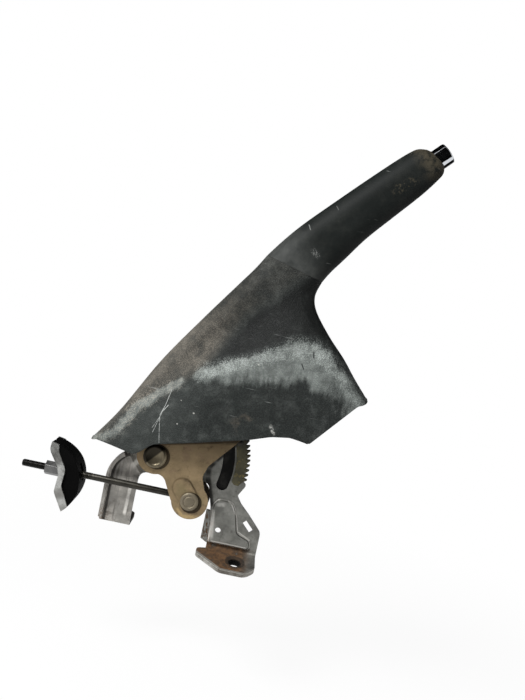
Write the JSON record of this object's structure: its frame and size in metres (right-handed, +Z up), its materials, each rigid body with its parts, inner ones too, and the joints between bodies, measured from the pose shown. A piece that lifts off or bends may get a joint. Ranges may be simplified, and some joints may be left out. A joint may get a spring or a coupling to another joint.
{
  "type": "parking brake lever",
  "caption": "Floor parking brake lever with grip, push button, flared hood, ratchet sector on a pressed bracket, and a threaded pull rod with adjusting nut and cable equalizer.",
  "frame": {"origin": "centre of the front bolt hole, on the underside of the front flange", "axes": "+X from the rod towards the grip (front of the car), +Y away from the camera of the picture, +Z up along the drawn lever"},
  "size_m": [0.2881, 0.0828, 0.3658],
  "materials": {
    "bracket_zinc": "dull zinc plate with grease and light rust",
    "sector_steel": "olive chromate",
    "chromate": "dull yellow chromate on pressed steel",
    "bright_steel": "plain zinc",
    "dark_steel": "dark oiled steel",
    "grip_plastic": "worn black moulding",
    "hood_plastic": "grained charcoal moulding with dust",
    "nylon": "natural nylon",
    "black_nylon": "black nylon",
    "chrome": "bright chrome plate",
    "spring_steel": "oiled spring wire"
  },
  "bodies": {
    "bracket": {"mounting_bracket": "bracket_zinc", "ratchet_sector": "sector_steel", "sector_rivets": "bright_steel", "pivot_pin": "chromate", "pivot_spacers": "bright_steel", "pivot_clip": "dark_steel"},
    "lever": {"lever_arm": "chromate", "handle_tube": "dark_steel", "grip": "grip_plastic", "hood": "hood_plastic", "hood_ribs": "hood_plastic", "tube_bushes": "black_nylon", "clevis_pin": "chromate", "clevis_spacers": "nylon", "pawl_pin": "bright_steel", "pawl_spacers": "bright_steel", "pawl_spring": "spring_steel", "return_spring": "spring_steel"},
    "button": {"release_button": "chrome", "release_rod": "dark_steel"},
    "pawl": {"pawl": "dark_steel"},
    "rod": {"pull_rod": "dark_steel"},
    "nut": {"adjuster_nut": "bright_steel"},
    "equalizer": {"equalizer": "bracket_zinc"}
  },
  "joints": [
    {"name": "lever_pivot", "type": "hinge", "parent": "bracket", "child": "lever", "pos_m": [-0.0794, 0.01562, 0.07281], "axis": [0, -1, 0], "range_deg": [-33.66, 6.12]},
    {"name": "button_press", "type": "slide", "parent": "lever", "child": "button", "axis": [-0.6947, 0, -0.7193], "range_m": [-0.0025, 0.005], "stiffness_N_per_m": 800, "springref_m": -0.0025, "deforming": ["return_spring"]},
    {"name": "pawl_turn", "type": "hinge", "parent": "lever", "child": "pawl", "pos_m": [-0.02885, 0.01562, 0.14238], "axis": [0, -1, 0], "range_deg": [-9, 18], "deforming": ["pawl_spring"]},
    {"name": "rod_swing", "type": "hinge", "parent": "lever", "child": "rod", "pos_m": [-0.0455, 0.01562, 0.04241], "axis": [0, -1, 0], "range_deg": [-5, 45]},
    {"name": "nut_travel", "type": "slide", "parent": "rod", "child": "nut", "axis": [1, 0, 0], "range_m": [-0.012, 0.012]},
    {"name": "equalizer_rock", "type": "hinge", "parent": "nut", "child": "equalizer", "pos_m": [-0.1434, 0.01562, 0.04241], "axis": [0, -1, 0], "range_deg": [-34, 2]}
  ],
  "couplings": [
    {"joint": "pawl_turn", "follows": "button_press", "rad_per_m": 62.5}
  ]
}
